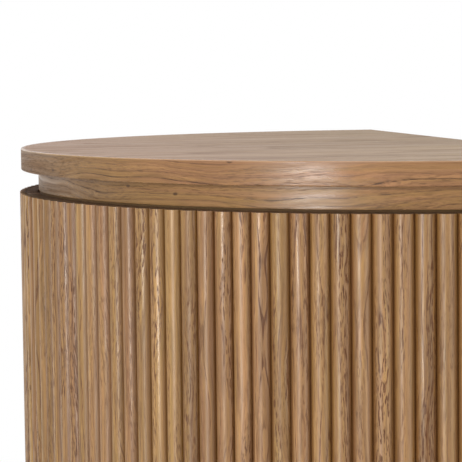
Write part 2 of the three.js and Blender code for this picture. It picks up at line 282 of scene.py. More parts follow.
def slice_off(point, direction, fill=True):
    """Cuts all of the open mesh at a plane and drops the side that the direction points to."""
    select_all()
    bpy.ops.mesh.bisect(plane_co=point, plane_no=direction, use_fill=fill, clear_outer=True)


def score(point, direction):
    """Cuts all faces of the open mesh at a plane and keeps both sides."""
    select_all()
    bpy.ops.mesh.bisect(plane_co=point, plane_no=direction)


def trimmed(piece, point, direction):
    only(piece)
    open_mesh()
    slice_off(point, direction)
    close_mesh()


def applied(piece, kind, **settings):
    """Adds a modifier to the active piece and makes it part of the mesh."""
    change = piece.modifiers.new(kind, kind)
    for name, value in settings.items():
        setattr(change, name, value)
    bpy.ops.object.modifier_apply(modifier=change.name)


def round_edges(piece, arris, steps=2):
    only(piece)
    applied(piece, "BEVEL", width=arris, segments=steps, limit_method="ANGLE", angle_limit=math.radians(30))


def smooth():
    """Smooths the long curves of the active piece and leaves its edges sharp."""
    bpy.ops.object.shade_smooth_by_angle(angle=SMOOTH_ANGLE)


def face_outward():
    select_all()
    bpy.ops.mesh.normals_make_consistent(inside=False)


def closed(piece, arris=0.0, steps=2):
    """Leaves editing, turns the faces outward, takes the sharp edges off and smooths the long curves."""
    select_all()
    bpy.ops.mesh.remove_doubles(threshold=1e-6)
    face_outward()
    close_mesh()
    if arris:
        round_edges(piece, arris, steps)
    smooth()
    return piece


def cut(piece, low, high):
    """Cuts the space between two corners out of a piece."""
    cutter = block(low, high)
    close_mesh()
    only(piece)
    applied(piece, "BOOLEAN", operation="DIFFERENCE", solver="EXACT", object=cutter)
    drop(cutter)


def board(low, high, arris=BOARD_ARRIS, housings=()):
    """A sawn board with its arrises taken off, and the housings cut in it."""
    piece = closed(block(low, high))
    for housing in housings:
        cut(piece, *housing)
    round_edges(piece, arris)
    smooth()
    return piece


def half_disc(radius, z):
    """The front half of a disc, open for editing, with its straight edge selected."""
    piece = circle(radius, (0, CENTRE_Y, z), fill="NGON")
    slice_off((0, CENTRE_Y, z), (0, 1, 0), fill=False)
    pick(piece, "EDGE", lambda at, edge: lies_at(edge, 1, CENTRE_Y))
    return piece


def straightened():
    """Takes out the points that lie in the middle of straight edges."""
    select_all()
    bpy.ops.mesh.dissolve_limited(angle_limit=STRAIGHT_ANGLE)


def moulded(radius, rear, low, high, arris, lip=0.0):
    """A plate with the half-moon outline. A lip draws the line of its edge band on the upper face."""
    piece = half_disc(radius, low)
    draw_out(y=rear - CENTRE_Y)
    straightened()
    raised(high - low)
    closed(piece, arris)
    if lip:
        open_mesh()
        pick(piece, "FACE", lambda at, face: face.normal.z > 0.99)
        bpy.ops.mesh.inset(thickness=lip)
        close_mesh()
    return piece


def bent_wall(radius, thickness, low, high, quarter=False):
    """An upright band bent round the front, with straight returns, open for editing. A quarter is the right
    door's part of it, from the meeting edge to the hinges."""
    piece = circle(radius, (0, CENTRE_Y, low))
    pick(piece, "VERT", lambda at, point: at.y > CENTRE_Y + NEAR or (quarter and at.x < -NEAR))
    bpy.ops.mesh.delete(type="VERT")
    if not quarter:
        pick(piece, "VERT", lambda at, point: at.y > CENTRE_Y - NEAR)
        draw_out(y=REAR_Y - CENTRE_Y)
    bpy.ops.mesh.select_mode(type="EDGE")
    raised(high - low)
    face_outward()
    close_mesh()
    applied(piece, "SOLIDIFY", thickness=thickness, offset=-1, use_even_offset=True)
    open_mesh()
    if quarter:
        slice_off((MEETING_X, 0, 0), (-1, 0, 0))
        slice_off((0, DOOR_END_Y, 0), (0, 1, 0))
    return piece


def link(thing):
    bpy.context.scene.collection.objects.link(thing)


def copied(piece, move):
    """A copy with its own mesh, moved by a matrix. If that mirrors it, its faces are turned outward again."""
    twin = piece.copy()
    twin.data = piece.data.copy()
    link(twin)
    twin.data.transform(move)
    if move.determinant() < 0:
        twin.data.flip_normals()
    return twin


def mirrored(piece):
    """The left-hand twin of a right-hand piece."""
    return copied(piece, Matrix.Scale(-1, 4, (1, 0, 0)))


def joined(parts):
    only(parts[0])
    for part in parts:
        part.select_set(True)
    bpy.ops.object.join()
    return parts[0]


def drop(*pieces):
    for piece in pieces:
        bpy.data.objects.remove(piece)


def turned(angle):
    """A turn about the upright axis through the middle of the curve, towards +X."""
    middle = Vector((0, CENTRE_Y, 0))
    return Matrix.Translation(middle) @ Matrix.Rotation(angle, 4, "Z") @ Matrix.Translation(-middle)


def shifted(x=0.0, y=0.0, z=0.0):
    return Matrix.Translation((x, y, z))


def middle_of(name):
    """The middle of a solid in the frame."""
    return [(a + b) / 2 for a, b in zip(*corners_of(name))]


# Grain

def read(items, label, width, kind=np.float64):
    """One property of all points, corners or faces of a mesh, a row to each."""
    values = np.empty(len(items) * width, dtype=kind)
    items.foreach_get(label, values)
    return values.reshape(-1, width)


def places_and_normals(mesh):
    """Place and face normal of every face corner."""
    index = read(mesh.loops, "vertex_index", 1, np.int64).ravel()
    counts = read(mesh.polygons, "loop_total", 1, np.int64).ravel()
    return read(mesh.vertices, "co", 3)[index], np.repeat(read(mesh.polygons, "normal", 3), counts, axis=0)


def unrolled(points):
    """Length along the outline, height and depth below the outline's face, for bent pieces."""
    x, y, z = points.T
    away = CENTRE_Y - y
    radius = np.where(away > 0, np.hypot(x, away), np.abs(x))
    angle = np.where(away > 0, np.arctan2(x, np.maximum(away, 1e-9)), np.sign(x) * math.pi / 2)
    length = GROOVE_RADIUS * angle + np.where(away > 0, 0, np.sign(x) * -away)
    return np.stack([length, z, GROOVE_RADIUS - radius], 1)


def grain(axes, laid_out=np.array):
    """The grain of a board: which axes run along, across and into it, once it is laid out."""
    return lambda points, normals: laid_out(points)[:, axes]


upright = grain([2, 0, 1])
side_to_side = grain([0, 1, 2])
front_to_back = grain([1, 0, 2])
round_the_front = grain([0, 1, 2], unrolled)
up_the_bend = grain([1, 0, 2], unrolled)


def up_the_slat(points, normals):
    """The grain of a slat at the front centre, with its crown in the plane of the pith."""
    return upright(points, normals) - np.array([0, 0, CENTRE_Y - CROWN_RADIUS])


def plate_of(face_grain):
    """The grain of a plate whose edge carries a bent edge band."""
    def laid(points, normals):
        face = np.abs(normals[:, 2:]) > 0.9
        rear = (np.abs(normals[:, 1:2]) > 0.9) & (points[:, 1:2] > CENTRE_Y + NEAR)
        edge = np.where(rear, points[:, [0, 2, 1]], unrolled(points))
        return np.where(face, face_grain(points, normals), edge)
    return laid


def front_and_rear_painted_shade(edge_tone, face_tone, drop, middle_turn=8, spread=34, rear_drop=1.8):
    """The tone, or warmth, of an edge band that is darker round the middle of the front, by its turn in
    degrees, painted shade that dims the sheen seen there, and of a face that gets a little darker towards the
    rear, painted shade as if the light fell off towards the rear."""
    def toned(points, normals):
        turn = np.degrees(np.abs(np.arctan2(points[:, 0], CENTRE_Y - points[:, 1])))
        middle = 1 - np.clip((turn - middle_turn) / spread, 0, 1)
        face = face_tone - rear_drop * points[:, 1]
        return np.where(np.abs(normals[:, 2]) > 0.9, face, edge_tone - drop * middle)
    return toned


def lay_grain(piece, direction, tone=None, warmth=None, figure=None, pith=None):
    """Gives a piece its own stretch of wood. The attribute wood runs along, across and into the board, from a
    pith that lies beside it; the attribute board holds its tone, warmth and strength of figure."""
    points, normals = places_and_normals(piece.data)
    wood = np.array(direction(points, normals), dtype=np.float32)
    away, turn = (draws.uniform(0.03, 0.11), draws.uniform(0, 2 * math.pi)) if pith is None else pith
    start = (draws.uniform(-4, 4), away * math.cos(turn), away * math.sin(turn))
    wood += np.array(start, dtype=np.float32)
    tone = draws.normal(0, 0.24) if tone is None else tone
    warmth = draws.uniform(0.05, 0.9) if warmth is None else warmth
    figure = draws.uniform(0.4, 1.2) if figure is None else figure
    amounts = np.empty((len(wood), 3), dtype=np.float32)
    for column, value in enumerate((tone, warmth, figure)):
        amounts[:, column] = value(points, normals) if callable(value) else value
    layers = piece.data.attributes
    for name, values in (("wood", wood), ("board", amounts)):
        layer = layers.get(name) or layers.new(name, "FLOAT_VECTOR", "CORNER")
        layer.data.foreach_set("vector", values.ravel())


def paint_stain_and_shade(piece, share):
    """Stores how dark stain and painted shade make each point, as a share, in the attribute hollow."""
    layer = piece.data.attributes.new("hollow", "FLOAT", "POINT")
    layer.data.foreach_set("value", [share(point.co) for point in piece.data.vertices])


# Shaders

class Wire:
    """What comes out of a shader node. A sum written with wires is laid as math nodes."""

    def __init__(self, tree, socket):
        self.tree = tree
        self.socket = socket

    def __add__(self, other):
        return sums("ADD", self, other)

    def __sub__(self, other):
        return sums("SUBTRACT", self, other)

    def __rsub__(self, other):
        return sums("SUBTRACT", other, self)

    def __mul__(self, other):
        return sums("MULTIPLY", self, other)

    def __truediv__(self, other):
        return sums("DIVIDE", self, other)


def node(tree, kind, inputs=(), **settings):
    """Adds a node and gives the wires that come out of it, by number and by name."""
    made = tree.nodes.new(kind)
    for name, value in settings.items():
        setattr(made, name, value)
    for name, source in dict(inputs).items():
        if isinstance(source, Wire):
            tree.links.new(source.socket, made.inputs[name])
        else:
            made.inputs[name].default_value = source
    wires = {}
    for number, socket in enumerate(made.outputs):
        wires[number] = Wire(tree, socket)
        wires.setdefault(socket.name, wires[number])
    return wires


def tree_of(values):
    return next(value.tree for value in values if isinstance(value, Wire))


def sums(operation, *values):
    return node(tree_of(values), "ShaderNodeMath", dict(enumerate(values)), operation=operation)[0]


def clamped(total):
    """Keeps a sum between 0 and 1."""
    total.socket.node.use_clamp = True
    return total


def vectors(operation, a, b):
    return node(a.tree, "ShaderNodeVectorMath", {0: a, 1: b}, operation=operation)[0]


def split(wire, kind="XYZ"):
    """The three numbers of a vector, or of a colour."""
    wires = node(wire.tree, "ShaderNodeSeparate" + kind, {0: wire})
    return wires[0], wires[1], wires[2]


def packed(*values):
    return node(tree_of(values), "ShaderNodeCombineXYZ", dict(enumerate(values)))[0]


def between(value, low, high):
    """0 below low, 1 above high and a soft step between them."""
    return node(value.tree, "ShaderNodeMapRange", {"Value": value, "From Min": low, "From Max": high},
                interpolation_type="SMOOTHSTEP")[0]


def blended(share, a, b, mode="MIX"):
    values = {"Factor": share, 6: a, 7: b}
    return node(tree_of(values.values()), "ShaderNodeMix", values, data_type="RGBA", blend_type=mode)[2]


def noise(place, stretch, detail=2.0, roughness=0.5):
    """Noise over a place that is first stretched, so many waves to the metre each way."""
    scaled = vectors("MULTIPLY", place, stretch)
    return node(place.tree, "ShaderNodeTexNoise",
                {"Vector": scaled, "Scale": 1.0, "Detail": detail, "Roughness": roughness})[0]


def chance(number, out):
    """A value or colour drawn by lot for each whole number."""
    return node(number.tree, "ShaderNodeTexWhiteNoise", {"W": number}, noise_dimensions="1D")[out]


def group(name, inputs, outputs):
    """A new node group, and the wires of its inputs."""
    tree = bpy.data.node_groups.new(name, "ShaderNodeTree")
    for way, sockets in (("INPUT", inputs), ("OUTPUT", outputs)):
        for label, kind in sockets.items():
            tree.interface.new_socket(label, in_out=way, socket_type="NodeSocket" + kind)
    return tree, node(tree, "NodeGroupInput")


FIGURE = {"Color": "Color", "Roughness": "Float", "Height": "Float"}
# Tints that multiply into the colour of golden and of pink stretches of wood
GOLDEN, PINK = (0.99, 1.02, 0.84, 1), (1.02, 0.95, 1.08, 1)
# What the figure of oak is made of, with its usual amounts. The ring width, wander and wave are in metres.
USUAL_OAK = {"ring width": 0.0035, "rings": 0.5, "pores": 0.5, "fibre": 0.3, "streaks": 1.0, "wander": 0.03,
             "wave": 0.004, "broken": 0.75, "knots": 0.0, "dull when dark": 0.0}


def oak_figure():
    """Growth rings, rows of open pores and fibre of oak, over a place along, across and into the board."""
    colours = {"pale": "Color", "brown": "Color", "dark": "Color"}
    amounts = {label: "Float" for label in USUAL_OAK}
    tree, given = group("oak figure", {"wood": "Vector", "board": "Vector", **colours, **amounts}, FIGURE)
    wood = given["wood"]
    along, across, into = split(wood)
    tone, warmth, figure = split(given["board"])

    # Distance from the pith, pushed about by the slow wander of the trunk, and the year's ring there
    wander = noise(wood, (2.4, 11, 11)) - 0.5
    ripple = noise(wood, (16, 110, 110)) - 0.5
    wave = noise(wood, (8, 20, 20), 1) - 0.5
    bend = wave * given["wave"] + wander * given["wander"]
    away = sums("SQRT", across * across + into * into) + bend + ripple * 0.002 + along * 0.01
    rings = away / given["ring width"]
    share = sums("FRACT", rings)
    strength = chance(sums("FLOOR", rings), "Value") * 1.1 + 0.3
    early = (1 - between(share, 0.04, 0.34)) * between(share, 0.0, 0.06) * strength
    fade = between(noise(wood, (5, 45, 45)), 0.34, 0.60)
    early = early * (fade * given["broken"] + 0.5)

    # Streaks, fibre and pores follow the same wander
    wood = vectors("ADD", wood, packed(0.0, bend, bend))
    streak = noise(wood, (3.0, 170, 170), 3, 0.6) - 0.5
    tint = noise(wood, (2.2, 200, 200), 3, 0.55) - 0.5
    fibre = noise(wood, (9, 430, 430), 3, 0.7)
    rows = between(noise(wood, (36, 700, 700), 2, 0.6), 0.42, 0.58)
    pores = between(noise(wood, (85, 850, 850), 2, 0.55), 0.50, 0.63)
    zone = between(noise(wood, (3.5, 60, 60), 1), 0.42, 0.62) * 0.85 + 0.15
    pores = clamped(pores * (early * 0.4 + zone)) * given["pores"] * figure
    dashes = clamped(early * (1 - (1 - rows) * given["broken"]))

    # Small knots, in the few cells of a grid that chance picks
    grid = node(tree, "ShaderNodeTexVoronoi", {"Vector": packed(along * 0.45, across), "Scale": 24.0},
                voronoi_dimensions="2D")
    picked = between(split(grid["Color"], "Color")[0], 0.55, 0.75)
    knot = (1 - between(grid["Distance"], 0.018, 0.050)) * picked

    body = clamped(wander * 0.9 + 0.42 + streak * given["streaks"] * 1.5 - tone * 0.45)
    base = blended(body, given["pale"], given["brown"])
    base = blended(1.0, base, blended(clamped(tint * 2.0 + warmth), GOLDEN, PINK), "MULTIPLY")
    for mask in (dashes * given["rings"] * figure, pores, knot * given["knots"]):
        base = blended(mask, base, given["dark"])
    lift = (fibre - 0.5) * given["fibre"] + 1.0
    dulled = sums("MAXIMUM", tone * -1.0, 0.0) * given["dull when dark"]
    node(tree, "NodeGroupOutput", {
        "Color": vectors("MULTIPLY", base, packed(lift, lift, lift)),
        "Roughness": pores * 0.24 + fibre * 0.06 + streak * 0.7 + dulled + dashes * 0.1,
        "Height": fibre * 0.3 - pores * 0.6 - dashes * 0.3})
    return tree


def veneer_leaves():
    """Splits a wide face into leaves of veneer, each from its own stretch of the log."""
    tree, given = group("veneer leaves", {"wood": "Vector", "leaf width": "Float"},
                        {"wood": "Vector", "shade": "Float"})
    along, across, into = split(given["wood"])
    leaf = across / given["leaf width"]
    red, green, blue = split(chance(sums("FLOOR", leaf), "Color"), "Color")
    inside = (sums("FRACT", leaf) - 0.5) * given["leaf width"]
    place = packed(along + red * 6.0, inside + (green - 0.5) * 0.06, into + 0.035 + blue * 0.06)
    node(tree, "NodeGroupOutput", {"wood": place, "shade": green - 0.5})
    return tree


def metal_figure():
    """Fine drawn lines and tarnish on metal, over Object coordinates."""
    tree, given = group("metal figure", {"place": "Vector", "clean": "Color", "tarnished": "Color",
                                         "tarnish": "Float", "base": "Float"}, FIGURE)
    share = between(noise(given["place"], (90, 90, 90), 3, 0.6), 0.35, 0.75) * given["tarnish"]
    lines = noise(given["place"], (60, 60, 4000))
    node(tree, "NodeGroupOutput", {
        "Color": blended(share, given["clean"], given["tarnished"]),
        "Roughness": share * 0.25 + given["base"] + (lines - 0.5) * 0.12,
        "Height": lines})
    return tree


# Materials

def colour(numbers):
    """A colour as a screen shows it, 0 to 255, in the numbers that shaders use."""
    def straight(value):
        value /= 255
        return value / 12.92 if value <= 0.04045 else ((value + 0.055) / 1.055) ** 2.4
    return (*map(straight, numbers), 1.0)


def spot(tree):
    """The place of a point in its own object's coordinates."""
    return node(tree, "ShaderNodeTexCoord")["Object"]


def material(name):
    made = bpy.data.materials.new(name)
    made.use_nodes = True
    made.node_tree.nodes.clear()
    return made, made.node_tree


def surface(tree, seen, rough, height, relief, strength, **others):
    """Lays the shader of a material: its colour, roughness, fine relief and other constants."""
    bump = node(tree, "ShaderNodeBump", {"Height": height, "Strength": strength, "Distance": relief})[0]
    inputs = {"Base Color": seen, "Roughness": rough, "Normal": bump, **others}
    shader = node(tree, "ShaderNodeBsdfPrincipled", inputs)
    node(tree, "ShaderNodeOutputMaterial", {"Surface": shader[0]})


OAK = oak_figure()
LEAVES = veneer_leaves()
METAL = metal_figure()


def oak(name, pale, brown, dark, roughness, specular, relief=0.00012, leaf=None, grooves=None, **changes):
    """Oak of three colours. Changes are other amounts of its figure than the usual ones."""
    made, tree = material(name)
    wood = node(tree, "ShaderNodeAttribute", attribute_name="wood")["Vector"]
    values = node(tree, "ShaderNodeAttribute", attribute_name="board")["Vector"]
    if leaf:
        leaves = node(tree, "ShaderNodeGroup", node_tree=LEAVES, inputs={"wood": wood, "leaf width": leaf})
        wood = leaves["wood"]
        values = vectors("ADD", values, packed(leaves["shade"]))
    changes = {label.replace("_", " "): amount for label, amount in changes.items()}
    look = node(tree, "ShaderNodeGroup", node_tree=OAK, inputs={
        "wood": wood, "board": values, "pale": colour(pale), "brown": colour(brown), "dark": colour(dark),
        **USUAL_OAK, **changes})
    seen = look["Color"]
    # Stain and painted shade, darker by the attribute hollow towards the grooves between slats and along the
    # joint over a band
    if grooves:
        hollow = node(tree, "ShaderNodeAttribute", attribute_name="hollow")["Fac"]
        seen = blended(hollow * STAIN_AND_SHADE, seen, colour(grooves))
    surface(tree, seen, look["Roughness"] + roughness, look["Height"], relief, 1.0,
            **{"Specular IOR Level": specular})
    return made


def metal(name, clean, tarnished, tarnish, roughness):
    made, tree = material(name)
    look = node(tree, "ShaderNodeGroup", node_tree=METAL, inputs={
        "place": spot(tree), "clean": colour(clean), "tarnished": colour(tarnished),
        "tarnish": tarnish, "base": roughness})
    surface(tree, look["Color"], look["Roughness"], look["Height"], 0.00005, 0.3, Metallic=1.0)
    return made


def moulding(name, base, worn):
    """Moulded nylon with a fine spark-eroded grain."""
    made, tree = material(name)
    cloud = noise(spot(tree), (160, 160, 160), 3, 0.6)
    grain = noise(spot(tree), (4200, 4200, 4200))
    seen = blended(between(cloud, 0.45, 0.8), colour(base), colour(worn))
    surface(tree, seen, cloud * 0.2 + 0.45, grain, 0.0001, 0.5)
    return made


# The colour given as grooves is that of the stain and painted shade between the slats
OAK_SLATS = oak("oak slats", (186, 143, 88), (120, 81, 43), (94, 52, 10),
                roughness=0.36, specular=0.62, grooves=(98, 58, 8),
                ring_width=0.0044, rings=1.1, pores=1.2, fibre=1.2, wave=0.014)
OAK_GROOVE = oak("oak in the grooves", (104, 63, 30), (84, 50, 22), (52, 31, 14),
                 roughness=0.7, specular=0.2, rings=0.4, pores=0.4)
OAK_TOP = oak("oak top", (174, 142, 110), (142, 111, 84), (98, 72, 52),
              roughness=0.48, specular=0.4, leaf=0.13,
              ring_width=0.0050, rings=0.75, fibre=0.8, wander=0.02, broken=0.3, knots=0.5)
# The colour given as grooves is that of the painted shade, with a little stain, in the joint line along the
# top of a band
OAK_BANDS = oak("oak bands", (168, 127, 84), (120, 84, 50), (70, 44, 24),
                roughness=0.25, specular=0.33, relief=0.00007, grooves=(80, 50, 28),
                ring_width=0.0070, rings=1.1, fibre=1.0, wander=0.045, wave=0.02, knots=0.8,
                dull_when_dark=0.22)
# Paler oak for the slab's arris: a painted highlight along its edge
OAK_ARRIS_PAINTED_HIGHLIGHT = oak("oak arris", (196, 158, 118), (170, 132, 94), (110, 80, 56),
                roughness=0.22, specular=0.40, relief=0.00004,
                ring_width=0.0070, pores=0.2, fibre=0.5, wander=0.045)
OAK_PANELS = oak("oak veneer", (178, 141, 100), (142, 104, 68), (90, 60, 36),
                 roughness=0.42, specular=0.35, leaf=0.19,
                 ring_width=0.0045, rings=0.6, fibre=0.5, broken=0.4)
OAK_ENDS = oak("oak end grain", (120, 92, 68), (90, 68, 48), (50, 34, 22),
               roughness=0.75, specular=0.25, ring_width=0.0030, rings=0.6, pores=0.8)
BRASS = metal("brass", (202, 172, 116), (146, 114, 72), 0.5, 0.28)
STEEL = metal("zinc-plated steel", (196, 196, 192), (140, 138, 132), 0.4, 0.32)
NYLON = moulding("black nylon", (38, 36, 34), (58, 55, 51))


def coat(piece, made):
    piece.data.materials.clear()
    piece.data.materials.append(made)


def recoat(piece, made, test):
    """Gives the faces that pass a test another finish."""
    piece.data.materials.append(made)
    last = len(piece.data.materials) - 1
    for face in piece.data.polygons:
        if test(face):
            face.material_index = last


def sawn_end(face):
    """Whether a face looks up or down, so that an upright piece shows end grain on it."""
    return abs(face.normal.z) > 0.2


def dress(piece, node_name, slot_name, body="cabinet"):
    """Names a finished piece after the CAD node that it stands for and the first word of its slot, attaches
    it to its body and hides that CAD node.
    """
    piece.name = node_name + "_" + slot_name.split("_")[0]
    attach(piece, body)
    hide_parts(node_name)


def wooden(piece, node_name, direction, made=OAK_PANELS, slot_name="oak_panels", body="cabinet", **look):
    """Gives a finished wooden piece its grain and its finish, and dresses it."""
    lay_grain(piece, direction, **look)
    coat(piece, made)
    dress(piece, node_name, slot_name, body)


# Top slab, neck and plinth

def top_slab():
    slab = moulded(SLAB_RADIUS, REAR_Y, NECK_TOP_Z, TOP_Z, SLAB_ARRIS, SLAB_LIP)
    # Painted shade: the edge band is darker and more golden round the middle of the front, and the top gets
    # darker towards the rear
    wooden(slab, "top_slab", plate_of(front_to_back), OAK_TOP, "oak_top", pith=(0.06, 1.2), figure=0.8,
           tone=front_and_rear_painted_shade(0.45, 0.1, 1.4), warmth=front_and_rear_painted_shade(0.8, 0.5, 1.6))

    def on_top(face):
        inside = math.hypot(face.center.x, face.center.y - CENTRE_Y) < SLAB_RADIUS - 2 * SLAB_LIP
        return face.normal.z > 0.9 and inside
    recoat(slab, OAK_BANDS, lambda face: not on_top(face))
    # The arris faces take the paler oak of a painted highlight
    recoat(slab, OAK_ARRIS_PAINTED_HIGHLIGHT, lambda face: 0.1 < face.normal.z < 0.99 and not on_top(face))


def band_with_rail(name, radius, low, high):
    """A band bent round the front, with the dark line of painted shade, and a little stain, along its upper
    joint, and the rail that closes it.
    """
    band = bent_wall(radius, BAND_THICKNESS, low, high)
    for depth in (JOINT_LINE, JOINT_FADE):
        score((0, 0, high - depth), (0, 0, 1))
    closed(band, BOARD_ARRIS)
    # Painted shade under what overhangs the band, with a little stain, along its upper joint
    paint_stain_and_shade(band, lambda at: JOINT_STAIN_AND_SHADE if at.z > high - JOINT_LINE - NEAR else 0)
    # Painted light and shade on the band: its lighter tone makes up for the shade of what overhangs it, and
    # it is darker and more golden round the middle of the front
    wooden(band, name + "_band", round_the_front, OAK_BANDS, "oak_bands", pith=(0.05, 2.4), figure=0.8,
           tone=front_and_rear_painted_shade(1.25, 0.8, 1.95), warmth=front_and_rear_painted_shade(0.4, 0.4, 1.3))
    inner = radius - BAND_THICKNESS
    rail = board((-inner, REAR_Y - BAND_THICKNESS, low), (inner, REAR_Y, high))
    wooden(rail, name + "_back_rail", side_to_side, OAK_BANDS, "oak_bands")


# Slats and doors

def half_round(chord, rise):
    """One slat, turned from a round bar and sawn flat at the back, standing at the front centre."""
    bar = (chord ** 2 / 4 + rise ** 2) / (2 * rise)
    crown_y = CENTRE_Y - CROWN_RADIUS
    piece = rod(bar, SLAT_FOOT_Z, SLAT_TOP_Z, BAR_SIDES, crown_y + bar)
    slice_off((0, crown_y + rise, 0), (0, 1, 0))
    select_all()
    bpy.ops.transform.resize(value=((chord - SLAT_JOINT) / chord, 1, 1), center_override=(0, 0, 0))
    closed(piece, SLAT_ARRIS)
    # Stain and painted shade, growing from the crown towards the grooves
    paint_stain_and_shade(piece, lambda at: min(max((abs(at.x) / (chord / 2) - STAIN_AND_SHADE_START) / STAIN_AND_SHADE_REACH, 0), 1) ** 2)
    return piece


def slat_row(pattern, count, place):
    """Copies of a slat, each with its own stretch of wood, moved to its place by number."""
    made = []
    for number in range(count):
        slat = copied(pattern, shifted())
        lay_grain(slat, up_the_slat)
        coat(slat, OAK_SLATS)
        slat.data.transform(place(number))
        made.append(slat)
    return made


def slat_skin(node_name, slats, strip, body="cabinet"):
    """Joins slats with the strip behind them, whose stained wood shows in the grooves."""
    coat(strip, OAK_GROOVE)
    lay_grain(strip, up_the_bend, tone=-0.5)
    skin = joined(slats + [strip])
    recoat(skin, OAK_ENDS, sawn_end)
    dress(skin, node_name, "oak_slats", body)


def door_slats():
    chord = 2 * GROOVE_RADIUS * math.sin(SLAT_ANGLE / 2)
    pattern = half_round(chord, CROWN_RADIUS - GROOVE_RADIUS * math.cos(SLAT_ANGLE / 2))
    lay_grain(pattern, up_the_slat, pith=(0, 0))
    strip = bent_wall(STRIP_RADIUS, STRIP_RADIUS - BACKING_RADIUS, STRIP_FOOT_Z, STRIP_TOP_Z, quarter=True)
    strips = {"right": closed(strip), "left": mirrored(strip)}
    for side, sign in SIDES:
        slats = slat_row(pattern, SLATS_PER_DOOR, lambda number: turned(sign * (number + 0.5) * SLAT_ANGLE))
        trimmed(slats[0], (sign * MEETING_X, 0, 0), (-sign, 0, 0))
        trimmed(slats[-1], (0, DOOR_END_Y, 0), (0, 1, 0))
        slat_skin(f"door_slats_{side}", slats, strips[side], f"{side}_door")
    drop(pattern)


def side_slats():
    """The slats on the straight returns. The last one has no groove, and so no stain and no painted shade,
    behind it.
    """
    pattern = half_round(SIDE_PITCH, SLAT_RISE)
    for side, sign in SIDES:
        facing = turned(sign * math.pi / 2)
        slats = slat_row(pattern, SIDE_SLATS, lambda number: shifted(y=(number + 0.5) * SIDE_PITCH) @ facing)
        trimmed(slats[0], (0, SIDE_PANEL_FRONT, 0), (0, -1, 0))
        hollow = slats[-1].data.attributes["hollow"].data
        for point in slats[-1].data.vertices:
            if point.co.y > REAR_Y - SIDE_PITCH / 2:
                hollow[point.index].value = 0
        low_x, high_x = sorted((sign * STRIP_RADIUS, sign * BACKING_RADIUS))
        strip = board((low_x, SIDE_PANEL_FRONT, STRIP_FOOT_Z), (high_x, REAR_Y, STRIP_TOP_Z), STRIP_ARRIS)
        slat_skin(f"side_slats_{side}", slats, strip)
    drop(pattern)


def door_cores():
    core = bent_wall(CORE_RADIUS, CORE_RADIUS - DOOR_INNER_RADIUS, SLAT_FOOT_Z, SLAT_TOP_Z, quarter=True)
    score((MEETING_LIP, 0, 0), (1, 0, 0))
    closed(core, BOARD_ARRIS)
    for side, piece in (("right", core), ("left", mirrored(core))):
        wooden(piece, f"door_core_{side}", up_the_bend, body=f"{side}_door", tone=0.1)
        recoat(piece, OAK_ENDS, lambda face: sawn_end(face) and abs(face.center.x) >= MEETING_LIP)


# Carcass and shelves

def carcass():
    for name, low, high in (("carcass_top", CEILING_Z, CARCASS_TOP_Z),
                            ("carcass_bottom", SLAT_FOOT_Z, FLOOR_BOARD_Z)):
        plate = moulded(CARCASS_RADIUS, BACK_INNER_Y, low, high, BOARD_ARRIS)
        wooden(plate, name, plate_of(side_to_side), tone=0.1)
        recoat(plate, OAK_ENDS, lambda face: abs(face.normal.z) < 0.9)
    reach = CARCASS_RADIUS + HOUSING_DEPTH
    front = SHOULDER_Y - CLEARANCE
    housings = [((-reach, front, z - CLEARANCE), (reach, HOUSING_REAR, z + BOARD + CLEARANCE))
                for z in (MIDDLE_SHELF_Z, LOWER_SHELF_Z)]
    back = board((-CARCASS_RADIUS, BACK_INNER_Y, SLAT_FOOT_Z), (CARCASS_RADIUS, REAR_Y, CARCASS_TOP_Z),
                 housings=housings)
    wooden(back, "back_panel", upright, tone=0.0)
    side = board((CARCASS_RADIUS, SIDE_PANEL_FRONT, SLAT_FOOT_Z), (CORE_RADIUS, REAR_Y, CARCASS_TOP_Z),
                 PANEL_ARRIS, housings)
    for name, piece in (("side_panel_right", side), ("side_panel_left", mirrored(side))):
        wooden(piece, name, upright)


def shelf(z, inner=None):
    """A shelf with its curved front and the tongues that lie in the housings. With inner it is the right-hand
    part only, from there outwards."""
    piece = half_disc(SHELF_RADIUS, z)
    draw_out(y=SHOULDER_Y - CENTRE_Y)
    bpy.ops.transform.resize(value=(CARCASS_RADIUS / SHELF_RADIUS, 1, 1), center_override=(0, SHOULDER_Y, z))
    draw_out(y=HOUSING_REAR - CLEARANCE - SHOULDER_Y)
    for sign in (1, -1):
        pick(piece, "EDGE", lambda at, edge: lies_at(edge, 0, sign * CARCASS_RADIUS))
        draw_out(x=sign * (HOUSING_DEPTH - CLEARANCE))
    straightened()
    if inner is not None:
        slice_off((inner, 0, z), (-1, 0, 0), fill=False)
    raised(BOARD)
    return closed(piece, SHELF_ARRIS)


def shelves():
    half = BOARD / 2
    middle = shelf(MIDDLE_SHELF_Z)
    right = shelf(LOWER_SHELF_Z, half - HOUSING_DEPTH + CLEARANCE)
    left = mirrored(right)
    for piece, name in ((middle, "middle_shelf"), (right, "lower_shelf_right"), (left, "lower_shelf_left")):
        wooden(piece, name, plate_of(side_to_side), tone=0.15)
    low, high = LOWER_SHELF_Z - CLEARANCE, LOWER_SHELF_Z + BOARD + CLEARANCE
    housings = []
    for sign in (1, -1):
        low_x, high_x = sorted((sign * (half - HOUSING_DEPTH), sign * (half + PAST)))
        housings.append(((low_x, SHELF_FRONT - PAST, low), (high_x, BACK_INNER_Y + PAST, high)))
    divider = board((-half, SHELF_FRONT, FLOOR_BOARD_Z), (half, BACK_INNER_Y, MIDDLE_SHELF_Z),
                    housings=housings)
    wooden(divider, "lower_divider", upright, tone=0.1)


